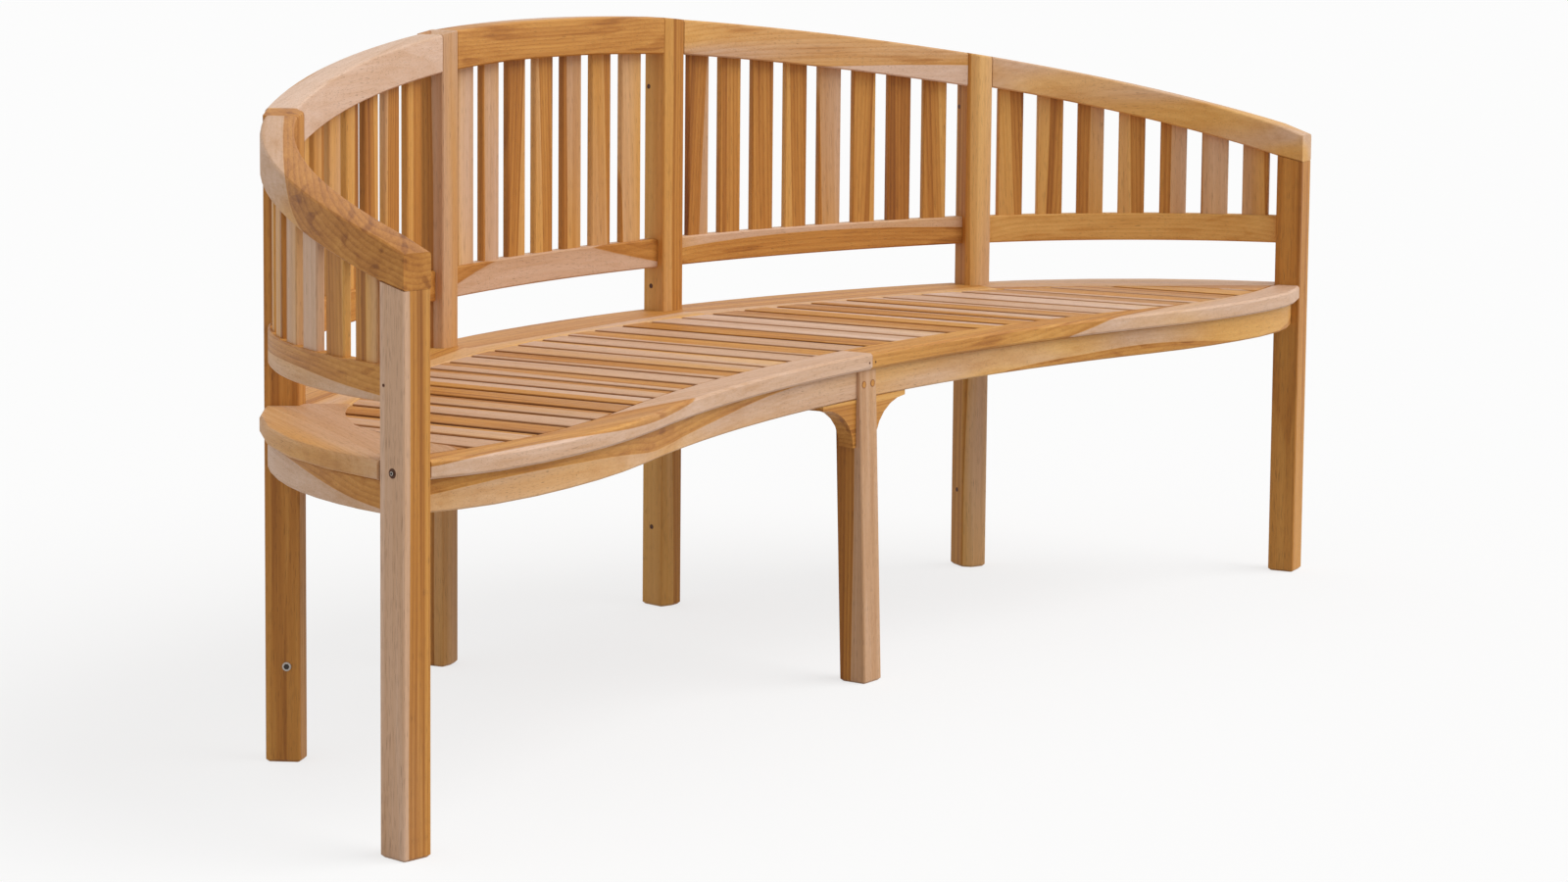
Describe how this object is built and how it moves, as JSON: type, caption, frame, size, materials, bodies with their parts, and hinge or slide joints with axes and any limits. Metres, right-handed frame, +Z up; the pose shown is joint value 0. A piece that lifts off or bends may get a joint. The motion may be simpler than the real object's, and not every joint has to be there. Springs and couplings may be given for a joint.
{
  "type": "curved garden bench",
  "caption": "Kidney-shaped wooden garden bench with a curved slatted back that falls into low arms, a framed slat seat and square posts.",
  "frame": {"origin": "middle of the bench's footprint at floor level", "axes": "+X along the bench to the sitter's left, +Y from the sitter's knees to the back, +Z up"},
  "size_m": [2.0842, 0.6878, 0.8385],
  "materials": {
    "post_teak": "sanded, unfinished",
    "rail_teak": "sanded, unfinished",
    "seat_teak": "sanded, unfinished",
    "apron_teak": "sanded, unfinished"
  },
  "bodies": {
    "root": {"back_apron": "apron_teak", "back_lower_rail": "rail_teak", "back_seat_board": "seat_teak", "back_top_rail": "rail_teak", "centre_bearer": "apron_teak", "centre_front_leg": "post_teak", "left_arm_lower_rail": "rail_teak", "left_arm_rail": "rail_teak", "left_back_post": "post_teak", "left_bearer": "apron_teak", "left_end_seat_board": "seat_teak", "left_front_apron": "apron_teak", "left_front_post": "post_teak", "left_front_seat_rail": "seat_teak", "left_leg_bracket": "post_teak", "left_quarter_apron": "apron_teak", "left_quarter_lower_rail": "rail_teak", "left_quarter_seat_board": "seat_teak", "left_quarter_top_rail": "rail_teak", "left_seat_slat_1": "seat_teak", "left_seat_slat_10": "seat_teak", "left_seat_slat_11": "seat_teak", "left_seat_slat_12": "seat_teak", "left_seat_slat_2": "seat_teak", "left_seat_slat_3": "seat_teak", "left_seat_slat_4": "seat_teak", "left_seat_slat_5": "seat_teak", "left_seat_slat_6": "seat_teak", "left_seat_slat_7": "seat_teak", "left_seat_slat_8": "seat_teak", "left_seat_slat_9": "seat_teak", "left_side_apron": "apron_teak", "left_side_post": "post_teak", "right_arm_lower_rail": "rail_teak", "right_arm_rail": "rail_teak", "right_back_post": "post_teak", "right_bearer": "apron_teak", "right_end_seat_board": "seat_teak", "right_front_apron": "apron_teak", "right_front_post": "post_teak", "right_front_seat_rail": "seat_teak", "right_leg_bracket": "post_teak", "right_quarter_apron": "apron_teak", "right_quarter_lower_rail": "rail_teak", "right_quarter_seat_board": "seat_teak", "right_quarter_top_rail": "rail_teak", "right_seat_slat_1": "seat_teak", "right_seat_slat_10": "seat_teak", "right_seat_slat_11": "seat_teak", "right_seat_slat_12": "seat_teak", "right_seat_slat_2": "seat_teak", "right_seat_slat_3": "seat_teak", "right_seat_slat_4": "seat_teak", "right_seat_slat_5": "seat_teak", "right_seat_slat_6": "seat_teak", "right_seat_slat_7": "seat_teak", "right_seat_slat_8": "seat_teak", "right_seat_slat_9": "seat_teak", "right_side_apron": "apron_teak", "right_side_post": "post_teak"}
  },
  "joints": []
}
